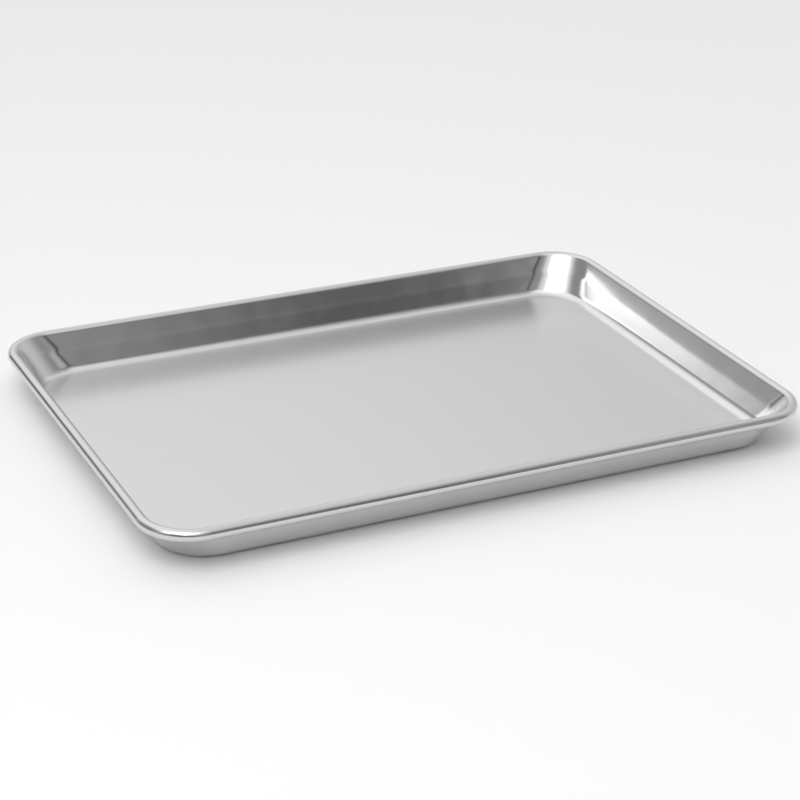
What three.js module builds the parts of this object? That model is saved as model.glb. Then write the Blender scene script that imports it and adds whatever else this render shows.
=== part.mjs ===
// A half-size sheet pan: one drawn aluminium sheet whose edge is rolled round a steel wire.
// Millimetres, +Z up. The origin is the middle of the base's underside.
// X runs along the pan, Y across it.
import * as THREE from 'three';

// Overall sizes, over the rolled rim
const LENGTH = 454;
const WIDTH = 327;
const HEIGHT = 28.6;

// The drawn sheet
const SHEET = 1;
const BASE_INSET = 22.5; // rim's outer edge to the edge of the flat base, seen from above
const BASE_CORNER = 26.5; // corner radius of the flat base
const BASE_FILLET = 7.3; // radius between base and wall, on the food side
const WALL_BULGE = 0.37; // how far the wall stands in from straight, halfway up
const CORNER_BULGE = 0.06; // the same in the middle of a corner, which is stiffer
const BEND_RADIUS = 60; // of the wall's slight bend there
const RIM_CORNER = 35; // corner radius of the rim's outer edge

// The rolled rim and the wire in it
const WIRE_DIAMETER = 5.1;
const WIRE_CLEARANCE = 0.3; // all round the wire
const WIRE_BUTT_GAP = 1.5; // between the wire's two cut ends
const LIP_GAP = 0.8; // from the roll's cut edge to the wall that it turns back to

// How finely the round stretches are divided
const CORNER_STEPS = 12;
const FILLET_STEPS = 6;
const BEND_STEPS = 2;
const ROLL_STEPS = 8; // in each of its three stretches
const WIRE_SIDES = 12;

// What follows from them
const rollInner = WIRE_DIAMETER / 2 + WIRE_CLEARANCE;
const rollOuter = rollInner + SHEET;
const rollHeight = HEIGHT - rollOuter; // the wire's centreline above the table

const up = new THREE.Vector3(0, 0, 1);
const quarterTurn = Math.PI / 2;
const steps = (count) => Array.from({ length: count + 1 }, (_, step) => step / count);

// The outline seen from above, anticlockwise: one station for each direction that a corner faces.
// The straight sides lie between the last station of a corner and the first of the next.
function outlineStations() {
  const corners = [[1, 1], [-1, 1], [-1, -1], [1, -1]];
  return corners.flatMap(([alongX, alongY], quarter) =>
    steps(CORNER_STEPS).map((share) => {
      const facing = (quarter + share) * quarterTurn;
      const out = new THREE.Vector3(Math.cos(facing), Math.sin(facing), 0);
      const edge = (inset, radius) => new THREE.Vector3(
        alongX * (LENGTH / 2 - inset - radius),
        alongY * (WIDTH / 2 - inset - radius),
        0,
      ).addScaledVector(out, radius);
      const rim = edge(0, RIM_CORNER);
      const base = edge(BASE_INSET, BASE_CORNER);
      const intoCorner = Math.sin(2 * facing) ** 2;
      return { out, rim, base, bulge: WALL_BULGE + intoCorner * (CORNER_BULGE - WALL_BULGE) };
    }));
}

// The way that a stretch of sheet faces on its food side, as (outward, up), by its lean from upright.
const facingFood = (lean) => new THREE.Vector2(-Math.cos(lean), Math.sin(lean));

// The lean of the straight line that passes outside a round below and inside a round above.
function touchingLean(low, lowRadius, high, highRadius) {
  const between = high.clone().sub(low);
  return Math.acos((lowRadius + highRadius) / between.length()) - between.angle();
}

// The sheet's section where the base's edge lies that far in from the rim's: fillet, bend and roll.
// Straight wall lies between them. Centres are (outward from the base's edge, up).
// The fillet is hollow on the food side, so its radius is below zero.
// The roll's top and its outermost point end two of its stretches, so the overall sizes come out whole.
function sheetArcs(inset, bulge) {
  const fillet = new THREE.Vector2(0, SHEET + BASE_FILLET);
  const roll = new THREE.Vector2(inset - rollOuter, rollHeight);
  const straight = touchingLean(fillet, BASE_FILLET, roll, rollOuter);
  const foot = fillet.clone().addScaledVector(facingFood(straight), -BASE_FILLET);
  const top = roll.clone().addScaledVector(facingFood(straight), rollOuter);
  const bend = foot.lerp(top, 0.5).addScaledVector(facingFood(straight), bulge);
  const lower = touchingLean(fillet, BASE_FILLET, bend, 0);
  const upper = touchingLean(bend, 0, roll, rollOuter);
  const pull = BEND_RADIUS / Math.cos((upper - lower) / 2);
  const bendCentre = bend.clone().addScaledVector(facingFood((lower + upper) / 2), -pull);
  const lip = upper + 4 * quarterTurn - Math.acos((rollInner - LIP_GAP) / rollOuter);
  const rollEnds = [upper, quarterTurn, 2 * quarterTurn, lip];
  return [
    { wayUp: 0, centre: fillet, radius: -BASE_FILLET, ends: [quarterTurn, lower], count: FILLET_STEPS },
    { wayUp: 0.5, centre: bendCentre, radius: BEND_RADIUS, ends: [lower, upper], count: BEND_STEPS },
    { wayUp: 1, centre: roll, radius: rollOuter, ends: rollEnds, count: ROLL_STEPS },
  ];
}

// The leans along an arc, in equal steps within each of its stretches.
function arcLeans(ends, count) {
  const stretch = (from, to) => steps(count).slice(1).map((share) => from + share * (to - from));
  return [ends[0], ...ends.slice(1).flatMap((to, place) => stretch(ends[place], to))];
}

// The sheet's food side at one station, from the base's edge to the roll's cut edge:
// points, with the way that each one faces. The wall carries them from the base's corner to the rim's.
function foodSide({ out, rim, base, bulge }) {
  const inset = rim.clone().sub(base).dot(out);
  const along = rim.clone().sub(base).addScaledVector(out, -inset);
  return sheetArcs(inset, bulge).flatMap(({ wayUp, centre, radius, ends, count }) =>
    arcLeans(ends, count).map((lean) => {
      const faces = facingFood(lean);
      const place = centre.clone().addScaledVector(faces, radius);
      const point = base.clone()
        .addScaledVector(along, wayUp)
        .addScaledVector(out, place.x)
        .addScaledVector(up, place.y);
      return { point, normal: out.clone().multiplyScalar(faces.x).addScaledVector(up, faces.y) };
    }));
}

// The sheet's section at one station: out along the food side, round the cut edge,
// and back along the underside.
function sheetSection(station) {
  const side = foodSide(station);
  const underside = side.map(({ point, normal }) => point.clone().addScaledVector(normal, -SHEET));
  return [...side.map(({ point }) => point), ...underside.reverse()];
}

// The wire's section: a round of points across its path.
function wireSection(centre, out) {
  return Array.from({ length: WIRE_SIDES }, (_, side) => {
    const turn = (side / WIRE_SIDES) * 2 * Math.PI;
    return centre.clone()
      .addScaledVector(out, (WIRE_DIAMETER / 2) * Math.cos(turn))
      .addScaledVector(up, (WIRE_DIAMETER / 2) * Math.sin(turn));
  });
}

// A closed solid through a row of loops that have as many points each, with a flat cap on either end.
function loft(loops) {
  const around = loops[0].length;
  const points = loops.flat();
  const index = [];
  const cap = (loop, first, flipped) => {
    const middle = loop.reduce((sum, point) => sum.add(point), new THREE.Vector3()).divideScalar(around);
    const hub = points.push(middle) - 1;
    loop.forEach((_, place) => {
      const edge = [first + place, first + (place + 1) % around];
      index.push(hub, ...(flipped ? edge.reverse() : edge));
    });
  };
  cap(loops[0], 0, false);
  for (let row = 0; row + 1 < loops.length; row++) {
    for (let place = 0; place < around; place++) {
      const here = row * around + place;
      const beside = row * around + (place + 1) % around;
      index.push(here, here + around, beside + around, here, beside + around, beside);
    }
  }
  cap(loops.at(-1), (loops.length - 1) * around, true);
  const geometry = new THREE.BufferGeometry().setFromPoints(points).setIndex(index);
  geometry.computeVertexNormals();
  return geometry;
}

// The sheet: the section at every station, lofted loop by loop round the pan.
function panShell() {
  const sections = outlineStations().map(sheetSection);
  const loops = sections[0].map((_, row) => sections.map((section) => section[row]));
  return loft(loops);
}

// The wire: one length bent round the rim's centreline, with its ends butted at the middle of a long side.
function rimWire() {
  const stations = outlineStations();
  const centre = ({ out, rim }) => rim.clone()
    .addScaledVector(out, -rollOuter)
    .addScaledVector(up, rollHeight);
  const firstCorner = stations.splice(0, CORNER_STEPS + 1);
  const path = [...stations, ...firstCorner].map((station) => ({ at: centre(station), out: station.out }));
  const end = (beside, x) => ({ at: beside.at.clone().setX(x), out: beside.out });
  const cutEnds = WIRE_BUTT_GAP / 2;
  const wholePath = [end(path[0], -cutEnds), ...path, end(path.at(-1), cutEnds)];
  return loft(wholePath.map(({ at, out }) => wireSection(at, out)));
}

const aluminium = new THREE.MeshStandardMaterial({ color: 0xd3d4d5, metalness: 1, roughness: 0.3 });
const galvanisedSteel = new THREE.MeshStandardMaterial({ color: 0x9fa3a6, metalness: 1, roughness: 0.5 });

function piece(name, geometry, material) {
  const mesh = new THREE.Mesh(geometry, material);
  mesh.name = name;
  return mesh;
}

const sheetPan = new THREE.Group();
sheetPan.name = 'sheet_pan';
sheetPan.add(
  piece('pan_shell', panShell(), aluminium),
  piece('rim_wire', rimWire(), galvanisedSteel),
);

export default sheetPan;
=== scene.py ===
"""A half-size sheet pan: one drawn aluminium sheet with its edge rolled round a galvanised wire.

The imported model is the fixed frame. This script puts smooth pieces in place of its faceted solids,
gives them their finishes, and sets them on a pale studio floor under the photograph's camera.
"""

import math

import bpy
from mathutils import Matrix, Vector


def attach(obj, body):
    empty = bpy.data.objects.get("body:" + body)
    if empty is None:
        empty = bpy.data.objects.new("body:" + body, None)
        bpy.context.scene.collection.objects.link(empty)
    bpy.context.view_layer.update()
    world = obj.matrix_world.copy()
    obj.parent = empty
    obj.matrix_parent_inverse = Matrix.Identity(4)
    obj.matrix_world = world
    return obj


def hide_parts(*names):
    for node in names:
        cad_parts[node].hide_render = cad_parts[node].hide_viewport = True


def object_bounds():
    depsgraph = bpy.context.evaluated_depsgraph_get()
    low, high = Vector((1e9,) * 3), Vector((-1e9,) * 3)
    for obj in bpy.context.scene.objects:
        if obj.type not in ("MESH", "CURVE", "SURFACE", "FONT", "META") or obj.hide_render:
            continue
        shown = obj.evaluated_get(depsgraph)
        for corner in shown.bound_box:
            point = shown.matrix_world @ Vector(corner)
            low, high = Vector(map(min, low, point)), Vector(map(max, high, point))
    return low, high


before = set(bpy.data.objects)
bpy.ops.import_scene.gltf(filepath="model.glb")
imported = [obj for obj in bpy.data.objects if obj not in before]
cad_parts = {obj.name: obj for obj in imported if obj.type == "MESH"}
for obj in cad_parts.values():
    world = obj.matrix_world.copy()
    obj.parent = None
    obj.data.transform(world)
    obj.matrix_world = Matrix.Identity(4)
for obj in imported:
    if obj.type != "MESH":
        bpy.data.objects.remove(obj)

MM = 0.001
cad_low, cad_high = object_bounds()

# The pan's sizes in millimetres, the overall ones from the frame
LENGTH, WIDTH, HEIGHT = (cad_high - cad_low) / MM
SHEET = 1.0
BASE_INSET = 22.5  # rim's outer edge to the edge of the flat base, seen from above
BASE_CORNER = 26.5
BASE_FILLET = 7.3  # on the food side
WALL_BULGE = 0.37  # how far the wall stands in from straight, halfway up
CORNER_BULGE = 0.06  # the same in the middle of a corner, which is stiffer
BEND_RADIUS = 60.0  # of the wall's slight bend there
RIM_CORNER = 35.0
WIRE_DIAMETER = 5.1
WIRE_CLEARANCE = 0.3
WIRE_BUTT_GAP = 1.5
LIP_GAP = 0.8  # from the roll's cut edge to the wall

# What follows from them
ROLL_INNER = WIRE_DIAMETER / 2 + WIRE_CLEARANCE
ROLL_OUTER = ROLL_INNER + SHEET
ROLL_HEIGHT = HEIGHT - ROLL_OUTER

# How finely the round stretches are divided
CORNER_STEPS = 48
FILLET_STEPS = 16
BEND_STEPS = 6
ROLL_STEPS = 24  # in each of its three stretches
WIRE_SIDES = 32

# Pairs of colours that a finish varies between
ALUMINIUM = ("#d2d2d2", "#d8d8d8")  # clean sheet: a neutral pale grey
IRONED_ALUMINIUM = ("#dcdcdc", "#e2e2e2")  # pressed smooth, so it gives back more of the light
ZINC = ("#9a9fa3", "#b4b8ba")  # a dull, faintly blue grey

# The photograph's camera, matched to the rim, wall and base edges
CAMERA_PLACE = Vector((-591.4, -1256.1, 640.1)) * MM
CAMERA_AZIMUTH = math.radians(-25.363)
CAMERA_ELEVATION = math.radians(24.485)
CAMERA_ROLL = math.radians(0.726)
CAMERA_SENSOR = 36  # millimetres
CAMERA_LENS = 102.35  # millimetres

# The studio, where a level of 1 is white
# A direction is (azimuth anticlockwise from the right, elevation) in degrees
FLOOR_SIZE = 12.0  # metres
FLOOR_DROP = 0.1 * MM  # under the pan, so that the two don't touch
FLOOR_WHITE = "#fafafa"
WALL_TOP, CEILING_EDGE = 25, 55  # the elevations between which the walls go over to the ceiling
WALL_LEVEL, CEILING_LEVEL = 0.65, 1.14
LAMP_AIM = Vector((150, 120, 0)) * MM  # on the base, near its far right corner
LAMP_DIRECTION, LAMP_DISTANCE = (221, 48), 2.0  # from there, in metres
LAMP_SIZE = (1.28, 1.1)  # metres
LAMP_TURN = -28  # degrees about its own axis, anticlockwise seen from behind it
LAMP_LEVEL = 2.15
# Screens and flags, each over the ones before: direction, half-width of core and edge, level
SCREENS = (
    ((85, 45), 5, 40, 1.1),  # the white screen behind the pan, which the base mirrors
    ((20, 55), 10, 40, 0.8),  # grey above the right side
    ((330, 40), 8, 35, 0.5),  # darker above the front right
    ((300, 10), 30, 50, 0.3),  # the dark end of the room, to the camera's right
    ((295, 18), 9, 16, 0.0),  # its darkest gap, which the back wall mirrors, between two pale stands
    ((281, 20), 7, 12, 0.35),
    ((310, 17), 10, 13, 0.55),
    ((225, 5), 28, 45, 0.13),  # the dark under the lamp, round the camera
    ((155, 15), 20, 35, 0.3),  # the grey left wall
    ((116, 1), 3, 8, 0.0),  # a narrow dark gap at the back left, which the left rim mirrors
    ((115, 13), 3, 9, 0.0),  # the same gap higher up
    ((247, 42), 2, 22, 0.9),  # the lamp's glow on the room, on either side of it
    ((198, 33), 5, 13, 1.4),
)

QUARTER_TURN = math.pi / 2
UP = Vector((0, 0, 1))


def linear(hex_colour):
    """An sRGB hex value as linear red, green, blue and alpha."""
    channels = [int(hex_colour[place:place + 2], 16) / 255 for place in (1, 3, 5)]
    return (*[c / 12.92 if c <= 0.04045 else ((c + 0.055) / 1.055) ** 2.4 for c in channels], 1.0)


def add_node(tree, kind, inputs=None, **settings):
    """A node with its settings. An input that is a socket is linked, any other value is set."""
    node = tree.nodes.new(kind)
    for name, value in settings.items():
        setattr(node, name, value)
    for name, value in (inputs or {}).items():
        if isinstance(value, bpy.types.NodeSocket):
            tree.links.new(value, node.inputs[name])
        else:
            node.inputs[name].default_value = value
    return node


def new_material(name):
    """An empty material with its output, as (material, tree, output)."""
    material = bpy.data.materials.new(name)
    material.use_nodes = True
    material.node_tree.nodes.clear()
    return material, material.node_tree, add_node(material.node_tree, "ShaderNodeOutputMaterial")


# Shape


def shares(count):
    """Equal steps from 0 to 1."""
    return [step / count for step in range(count + 1)]


def outline_stations():
    """The outline from above, anticlockwise: one station for each way that a corner faces.
    A station is (outward direction, rim's edge, base's edge, the wall's bulge)."""
    stations = []
    for quarter, (along_x, along_y) in enumerate(((1, 1), (-1, 1), (-1, -1), (1, -1))):
        for share in shares(CORNER_STEPS):
            facing = (quarter + share) * QUARTER_TURN
            out = Vector((math.cos(facing), math.sin(facing), 0))
            edges = []
            for inset, radius in ((0, RIM_CORNER), (BASE_INSET, BASE_CORNER)):
                middle = Vector((LENGTH / 2 - inset - radius, WIDTH / 2 - inset - radius, 0))
                edges.append(middle * Vector((along_x, along_y, 0)) + out * radius)
            into_corner = math.sin(2 * facing) ** 2
            stations.append((out, *edges, WALL_BULGE + into_corner * (CORNER_BULGE - WALL_BULGE)))
    return stations


def facing_food(lean):
    """The way that a stretch of sheet faces on its food side, as (outward, up), by its lean from upright."""
    return Vector((-math.cos(lean), math.sin(lean)))


def touching_lean(low, low_radius, high, high_radius):
    """The lean of the straight line that passes outside a round below and inside a round above."""
    across, rise = high - low
    return math.acos((low_radius + high_radius) / math.hypot(across, rise)) - math.atan2(rise, across)


def sheet_arcs(inset, bulge):
    """The sheet's section where the base's edge lies that far in from the rim's: fillet, bend and roll,
    as (share of the way from base to rim, centre, radius, leans at the ends of its stretches, steps in each).
    Straight wall lies between them. Centres are (outward from the base's edge, up), and the fillet,
    which is hollow on the food side, has a radius below zero."""
    fillet = Vector((0, SHEET + BASE_FILLET))
    roll = Vector((inset - ROLL_OUTER, ROLL_HEIGHT))
    straight = touching_lean(fillet, BASE_FILLET, roll, ROLL_OUTER)
    foot = fillet - facing_food(straight) * BASE_FILLET
    top = roll + facing_food(straight) * ROLL_OUTER
    bend = foot.lerp(top, 0.5) + facing_food(straight) * bulge
    lower = touching_lean(fillet, BASE_FILLET, bend, 0)
    upper = touching_lean(bend, 0, roll, ROLL_OUTER)
    pull = BEND_RADIUS / math.cos((upper - lower) / 2)
    bend_centre = bend - facing_food((lower + upper) / 2) * pull
    lip = upper + 4 * QUARTER_TURN - math.acos((ROLL_INNER - LIP_GAP) / ROLL_OUTER)
    return (
        (0.0, fillet, -BASE_FILLET, (QUARTER_TURN, lower), FILLET_STEPS),
        (0.5, bend_centre, BEND_RADIUS, (lower, upper), BEND_STEPS),
        (1.0, roll, ROLL_OUTER, (upper, QUARTER_TURN, 2 * QUARTER_TURN, lip), ROLL_STEPS),
    )


def arc_leans(ends, count):
    """The leans along an arc, in equal steps within each of its stretches."""
    leans = [ends[0]]
    for first, last in zip(ends, ends[1:]):
        leans += [first + share * (last - first) for share in shares(count)[1:]]
    return leans


def food_side(station):
    """The sheet's food side at a station, from the base's edge to the roll's cut edge, as (point, normal)."""
    out, rim, base, bulge = station
    inset = (rim - base).dot(out)
    along = rim - base - out * inset
    side = []
    for way_up, centre, radius, ends, count in sheet_arcs(inset, bulge):
        for lean in arc_leans(ends, count):
            faces = facing_food(lean)
            across, height = centre + faces * radius
            point = base + along * way_up + out * across + UP * height
            side.append((point, out * faces.x + UP * faces.y))
    return side


def distances(points):
    """How far along a line of points each one lies."""
    reached = [0.0]
    for point, following in zip(points, points[1:]):
        reached.append(reached[-1] + (following - point).length)
    return reached


def loft(name, rows, materials, row_material):
    """A closed mesh through rows of (point, normal) pairs in millimetres, with a flat cap on either end.
    Its UV map lays the surface flat, in metres: along the rows, and from row to row."""
    around = len(rows[0])
    ways_round = [distances([point for point, _ in row + row[:1]]) for row in rows]
    along = max(ways_round, key=lambda way: way[-1])
    reach = distances([row[0][0] for row in rows])
    points = [point * MM for row in rows for point, _ in row]
    normals = [normal for row in rows for _, normal in row]
    faces, finishes, laid_flat = [], [], []
    for row in range(len(rows) - 1):
        for place in range(around):
            here, beside = row * around + place, row * around + (place + 1) % around
            faces.append((here, here + around, beside + around, beside))
            finishes.append(row_material(row))
            corners = ((place, row), (place, row + 1), (place + 1, row + 1), (place + 1, row))
            laid_flat += [size * MM for at, level in corners for size in (along[at], reach[level])]
    first_cap = range(around)
    last_cap = range(len(points) - around, len(points))[::-1]
    for cap, end in ((first_cap, -1), (last_cap, len(rows) - 1)):
        faces.append(tuple(cap))
        finishes.append(row_material(end))
        laid_flat += [size for corner in cap for size in points[corner].xy]
    mesh = bpy.data.meshes.new(name)
    mesh.from_pydata(points, [], faces)
    for material in materials:
        mesh.materials.append(material)
    mesh.polygons.foreach_set("material_index", finishes)
    mesh.uv_layers.new(name="laid_flat").uv.foreach_set("vector", laid_flat)
    mesh.shade_smooth()
    mesh.normals_split_custom_set_from_vertices(normals)
    piece = bpy.data.objects.new(name, mesh)
    bpy.context.scene.collection.objects.link(piece)
    return piece


def pan_sheet(mill_finish, drawn, rolled):
    """The drawn sheet: food side out to the lip, the cut edge, and the underside back in."""
    stations = outline_stations()
    food = [food_side(station) for station in stations]
    under = [[(point - normal * SHEET, -normal) for point, normal in side] for side in food]
    edge = [(above[-1][0], below[-1][0]) for above, below in zip(food, under)]
    cut = [(a - b).cross(station[0].cross(UP)).normalized() for (a, b), station in zip(edge, stations)]
    count = len(food[0])
    rows = [[side[row] for side in food] for row in range(count)]
    rows += [[(pair[end], normal) for pair, normal in zip(edge, cut)] for end in (0, 1)]
    rows += [[side[row] for side in under] for row in reversed(range(count))]
    roll_starts = count - 1 - 3 * ROLL_STEPS
    on_base, on_wall, on_roll = range(3)

    def finish(row):
        from_base = min(row, len(rows) - 2 - row)
        if from_base < 0:
            return on_base
        return on_wall if from_base < roll_starts else on_roll

    return loft("pan_sheet", rows, (mill_finish, drawn, rolled), finish)


def bent_wire(galvanised):
    """The wire in the roll: one length round the rim, its cut ends butted at the middle of a long side."""
    path = [(rim - out * ROLL_OUTER + UP * ROLL_HEIGHT, out) for out, rim, _, _ in outline_stations()]
    path = path[CORNER_STEPS + 1:] + path[:CORNER_STEPS + 1]
    for place, x in ((0, -WIRE_BUTT_GAP / 2), (len(path) + 1, WIRE_BUTT_GAP / 2)):
        at, out = path[min(place, len(path) - 1)]
        path.insert(place, (Vector((x, at.y, at.z)), out))
    turns = [side / WIRE_SIDES * 4 * QUARTER_TURN for side in range(WIRE_SIDES)]
    rows = []
    for at, out in path:
        away = [out * math.cos(turn) + UP * math.sin(turn) for turn in turns]
        rows.append([(at + a * WIRE_DIAMETER / 2, a) for a in away])
    return loft("bent_wire", rows, (galvanised,), lambda row: 0)


# Finishes


def grain(tree, where, sizes, detail):
    """Noise from 0 to 1 whose grains have these sizes along each axis, in millimetres."""
    stretched = add_node(tree, "ShaderNodeMapping", {
        "Vector": where, "Scale": [1 / (size * MM) for size in sizes]})
    noise = add_node(tree, "ShaderNodeTexNoise", {
        "Vector": stretched.outputs["Vector"], "Scale": 1.0, "Detail": detail, "Roughness": 0.6})
    return noise.outputs["Fac"]


def swell(tree, where, width):
    """Smooth noise from 0 to 1, with humps about that many millimetres wide."""
    noise = add_node(tree, "ShaderNodeTexNoise", {
        "Vector": where, "Scale": 1 / (width * MM), "Detail": 1.0})
    return noise.outputs["Fac"]


def bump(tree, height, depth, **over):
    """The normals that a height from 0 to 1 gives when it is that many millimetres deep."""
    bumped = add_node(tree, "ShaderNodeBump", {
        "Height": height, "Strength": 1.0, "Distance": depth * MM, **over})
    return bumped.outputs["Normal"]


def bare_metal(tree, output, colours, tint, roughness, wear, **more):
    """Metal between two colours, by the tint, and between two roughnesses, by the wear, both from 0 to 1."""
    colour = add_node(tree, "ShaderNodeMix", {
        "Factor": tint, "A": linear(colours[0]), "B": linear(colours[1])}, data_type="RGBA")
    gloss = add_node(tree, "ShaderNodeMapRange", {
        "Value": wear, "To Min": roughness[0], "To Max": roughness[1]})
    shader = add_node(tree, "ShaderNodeBsdfPrincipled", {
        "Base Color": colour.outputs["Result"], "Metallic": 1.0,
        "Roughness": gloss.outputs["Result"], **more})
    tree.links.new(shader.outputs["BSDF"], output.inputs["Surface"])


def mill_finish_aluminium():
    """Rolled sheet as it left the mill: the base, which the drawing barely touches.
    Fine straight lines along the rolling direction, satin, with blurred reflections."""
    material, tree, output = new_material("mill_finish_aluminium")
    place = add_node(tree, "ShaderNodeTexCoord").outputs["Object"]
    # The mill's lines are about 0.2 mm apart, too fine to show, so they are drawn 1 mm apart
    lines = grain(tree, place, (90, 1, 1), detail=3)
    # The sheet lies a little uneven over a hand's width
    uneven = bump(tree, swell(tree, place, width=80), depth=0.1)
    scored = bump(tree, lines, depth=0.004, Normal=uneven)
    bare_metal(tree, output, ALUMINIUM, lines, (0.2, 0.26), lines, Normal=scored)
    return material


def drawn_aluminium():
    """The walls, ironed between punch and ring: brighter than the base, with nearly clear reflections
    and faint streaks up the wall in the direction of the draw."""
    material, tree, output = new_material("drawn_aluminium")
    laid_flat = add_node(tree, "ShaderNodeUVMap", uv_map="laid_flat").outputs["UV"]
    place = add_node(tree, "ShaderNodeTexCoord").outputs["Object"]
    # Draw streaks are a few tenths of a millimetre wide, drawn 1.2 mm wide so that they show
    streaks = grain(tree, laid_flat, (1.2, 30, 1), detail=3)
    # The draw leaves the wall slightly wavy, so its reflections aren't quite straight
    uneven = bump(tree, swell(tree, place, width=30), depth=0.2)
    scored = bump(tree, streaks, depth=0.002, Normal=uneven)
    bare_metal(tree, output, IRONED_ALUMINIUM, streaks, (0.17, 0.21), streaks, Normal=scored)
    return material


def rolled_rim_aluminium():
    """The bead, turned over by rollers that run along it: fine tracks along the rim and a soft gloss."""
    material, tree, output = new_material("rolled_rim_aluminium")
    laid_flat = add_node(tree, "ShaderNodeUVMap", uv_map="laid_flat").outputs["UV"]
    # Roller tracks are about 0.1 mm wide, drawn 0.5 mm wide so that they show
    tracks = grain(tree, laid_flat, (60, 0.5, 1), detail=2)
    scored = bump(tree, tracks, depth=0.002)
    bare_metal(tree, output, ALUMINIUM, tracks, (0.19, 0.25), tracks, Normal=scored)
    return material


def galvanised_steel():
    """Hot-dipped wire: dull zinc grey, broken up by small crystals that catch the light differently."""
    material, tree, output = new_material("galvanised_steel")
    place = add_node(tree, "ShaderNodeTexCoord").outputs["Object"]
    # The crystals are about 3 mm across
    spangle = add_node(tree, "ShaderNodeTexVoronoi", {"Vector": place, "Scale": 1 / (3 * MM)}).outputs
    bare_metal(tree, output, ZINC, spangle["Color"], (0.38, 0.52), spangle["Distance"])
    return material


# Studio


def photo_camera():
    """The camera at the photograph's place, with its lens and small tilt."""
    back = Vector((
        math.sin(CAMERA_AZIMUTH) * math.cos(CAMERA_ELEVATION),
        -math.cos(CAMERA_AZIMUTH) * math.cos(CAMERA_ELEVATION),
        math.sin(CAMERA_ELEVATION)))
    right = Vector((math.cos(CAMERA_AZIMUTH), math.sin(CAMERA_AZIMUTH), 0))
    up = back.cross(right)
    facing = Matrix((right, up, back)).transposed().to_4x4()
    data = bpy.data.cameras.new("photo_camera")
    data.sensor_width = CAMERA_SENSOR
    data.lens = CAMERA_LENS
    camera = bpy.data.objects.new("photo_camera", data)
    camera.matrix_world = Matrix.Translation(CAMERA_PLACE) @ facing @ Matrix.Rotation(CAMERA_ROLL, 4, "Z")
    bpy.context.scene.collection.objects.link(camera)
    bpy.context.scene.camera = camera


def studio_floor():
    """A plain white floor that keeps the pan's soft shadow.
    From below it is clear, so that the pan's underside can be looked at."""
    material, tree, output = new_material("white_floor")
    white = add_node(tree, "ShaderNodeBsdfDiffuse", {"Color": linear(FLOOR_WHITE)})
    clear = add_node(tree, "ShaderNodeBsdfTransparent")
    under = add_node(tree, "ShaderNodeNewGeometry").outputs["Backfacing"]
    # A ray that came through once goes through again, so the underside close above gets light
    passed = add_node(tree, "ShaderNodeLightPath").outputs["Transparent Depth"]
    from_below = add_node(tree, "ShaderNodeMath", {0: under, 1: passed}, operation="ADD", use_clamp=True)
    shader = add_node(tree, "ShaderNodeMixShader", {
        0: from_below.outputs["Value"], 1: white.outputs["BSDF"], 2: clear.outputs["BSDF"]})
    tree.links.new(shader.outputs["Shader"], output.inputs["Surface"])
    mesh = bpy.data.meshes.new("floor")
    half = FLOOR_SIZE / 2
    corners = [(x * half, y * half, -FLOOR_DROP) for x, y in ((-1, -1), (1, -1), (1, 1), (-1, 1))]
    mesh.from_pydata(corners, [], [range(len(corners))])
    mesh.materials.append(material)
    floor = bpy.data.objects.new("floor", mesh)
    bpy.context.scene.collection.objects.link(floor)


def toward(direction):
    """A unit vector toward an azimuth and elevation in degrees."""
    azimuth, elevation = (math.radians(angle) for angle in direction)
    return Vector((
        math.cos(elevation) * math.cos(azimuth),
        math.cos(elevation) * math.sin(azimuth),
        math.sin(elevation)))


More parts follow.
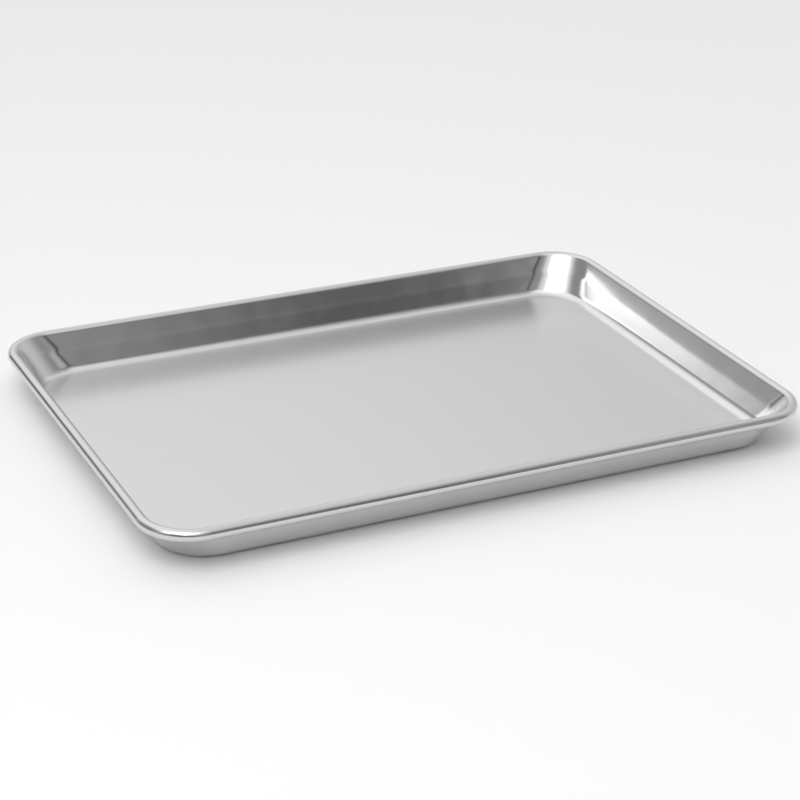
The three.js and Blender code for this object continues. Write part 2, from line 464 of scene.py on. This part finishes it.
def studio_lamp():
    """The large softbox at the front left, whose white shows in the far right corner
    and along the right wall."""
    data = bpy.data.lights.new("softbox", "AREA")
    data.shape = "RECTANGLE"
    data.size, data.size_y = LAMP_SIZE
    # The power that gives its face this level
    data.energy = math.pi * data.size * data.size_y * LAMP_LEVEL
    lamp = bpy.data.objects.new("softbox", data)
    way = toward(LAMP_DIRECTION)
    facing = way.to_track_quat("Z", "Y").to_matrix().to_4x4()
    turn = Matrix.Rotation(math.radians(LAMP_TURN), 4, "Z")
    lamp.matrix_world = Matrix.Translation(LAMP_AIM + way * LAMP_DISTANCE) @ facing @ turn
    bpy.context.scene.collection.objects.link(lamp)


def studio_world():
    """The room round the pan: grey walls, a bright ceiling, and the screens and flags
    that stand before them."""
    world = bpy.data.worlds.new("studio")
    world.use_nodes = True
    tree = world.node_tree
    tree.nodes.clear()
    way = add_node(tree, "ShaderNodeTexCoord").outputs["Generated"]
    height = add_node(tree, "ShaderNodeSeparateXYZ", {"Vector": way}).outputs["Z"]
    level = add_node(tree, "ShaderNodeMapRange", {
        "Value": height,
        "From Min": math.sin(math.radians(WALL_TOP)), "From Max": math.sin(math.radians(CEILING_EDGE)),
        "To Min": WALL_LEVEL, "To Max": CEILING_LEVEL}, interpolation_type="SMOOTHSTEP").outputs["Result"]
    for direction, core, edge, brightness in SCREENS:
        near = add_node(tree, "ShaderNodeVectorMath", {0: way, 1: toward(direction)}, operation="DOT_PRODUCT")
        cover = add_node(tree, "ShaderNodeMapRange", {
            "Value": near.outputs["Value"],
            "From Min": math.cos(math.radians(edge)), "From Max": math.cos(math.radians(core))},
            interpolation_type="SMOOTHSTEP")
        level = add_node(tree, "ShaderNodeMix", {
            "Factor": cover.outputs["Result"], "A": level, "B": brightness}).outputs["Result"]
    sky = add_node(tree, "ShaderNodeBackground", {"Color": linear("#ffffff"), "Strength": level})
    output = add_node(tree, "ShaderNodeOutputWorld")
    tree.links.new(sky.outputs["Background"], output.inputs["Surface"])
    bpy.context.scene.world = world


def dress_pan():
    """The pan's two pieces, each in place of its solid."""
    sheet = pan_sheet(mill_finish_aluminium(), drawn_aluminium(), rolled_rim_aluminium())
    wire = bent_wire(galvanised_steel())
    for piece, node in ((sheet, "pan_shell"), (wire, "rim_wire")):
        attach(piece, "root")
        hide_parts(node)


bpy.context.scene.view_settings.view_transform = "Standard"
photo_camera()
dress_pan()
studio_floor()
studio_lamp()
studio_world()
